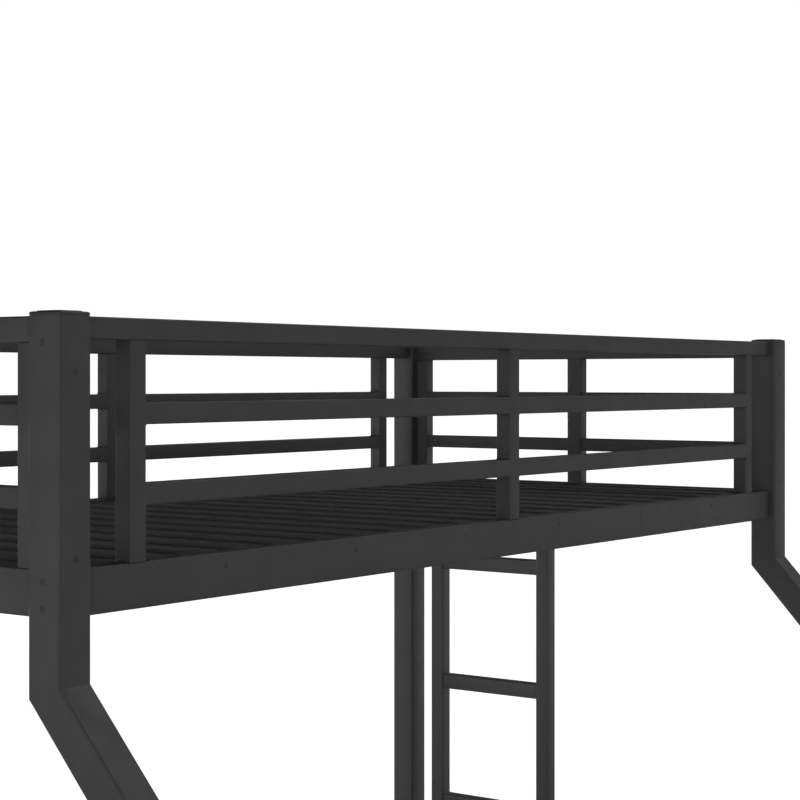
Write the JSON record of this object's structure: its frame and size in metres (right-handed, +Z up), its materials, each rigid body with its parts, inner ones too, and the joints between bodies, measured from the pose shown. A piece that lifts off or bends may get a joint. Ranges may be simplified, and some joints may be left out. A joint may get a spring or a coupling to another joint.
{
  "type": "bunk bed",
  "caption": "Black steel bunk bed with a wider lower bunk, outward-bent front legs, barred guards on all sides and a fixed ladder built into one end.",
  "frame": {"origin": "on the floor, under the middle of the bed's bounding box", "axes": "+X along the bed towards the ladder end, +Y across it towards the straight back posts, +Z up"},
  "size_m": [2.09, 1.491, 1.636],
  "materials": {
    "powder_coat": "matte charcoal powder coat with a fine orange-peel texture",
    "slat_coat": "matte charcoal powder coat, slightly smoother",
    "black_plastic": "matte moulded plastic"
  },
  "bodies": {
    "root": {"back_post_far": "powder_coat", "back_post_near": "powder_coat", "cap_back_far": "black_plastic", "cap_back_near": "black_plastic", "cap_front_far": "black_plastic", "cap_front_near": "black_plastic", "centre_beam": "powder_coat", "centre_foot_far": "black_plastic", "centre_foot_near": "black_plastic", "centre_leg_far": "powder_coat", "centre_leg_near": "powder_coat", "end_top_rail_far": "powder_coat", "end_top_rail_near": "powder_coat", "foot_back_far": "black_plastic", "foot_back_near": "black_plastic", "foot_front_far": "black_plastic", "foot_front_near": "black_plastic", "front_leg_far": "powder_coat", "front_leg_near": "powder_coat", "guard_back": "powder_coat", "guard_far_end": "powder_coat", "guard_front": "powder_coat", "guard_near_end": "powder_coat", "ladder_foot_back": "black_plastic", "ladder_foot_front": "black_plastic", "ladder_rung_1": "powder_coat", "ladder_rung_2": "powder_coat", "ladder_rung_3": "powder_coat", "ladder_rung_4": "powder_coat", "ladder_stringer_back": "powder_coat", "ladder_stringer_front": "powder_coat", "lower_end_rail_far": "powder_coat", "lower_end_rail_far_stub": "powder_coat", "lower_end_rail_near": "powder_coat", "lower_head_rail_far": "powder_coat", "lower_head_rail_far_stub": "powder_coat", "lower_head_rail_near": "powder_coat", "lower_post_back_far": "powder_coat", "lower_post_back_near": "powder_coat", "lower_post_front_far": "powder_coat", "lower_post_front_near": "powder_coat", "lower_side_rail_back": "powder_coat", "lower_side_rail_front": "powder_coat", "lower_slats_far": "slat_coat", "lower_slats_near": "slat_coat", "spigot_back_far": "powder_coat", "spigot_back_near": "powder_coat", "spigot_front_far": "powder_coat", "spigot_front_near": "powder_coat", "top_rail_back": "powder_coat", "top_rail_front": "powder_coat", "upper_end_rail_far": "powder_coat", "upper_end_rail_near": "powder_coat", "upper_side_rail_back": "powder_coat", "upper_side_rail_front": "powder_coat", "upper_slats_far": "slat_coat", "upper_slats_near": "slat_coat"}
  },
  "joints": []
}
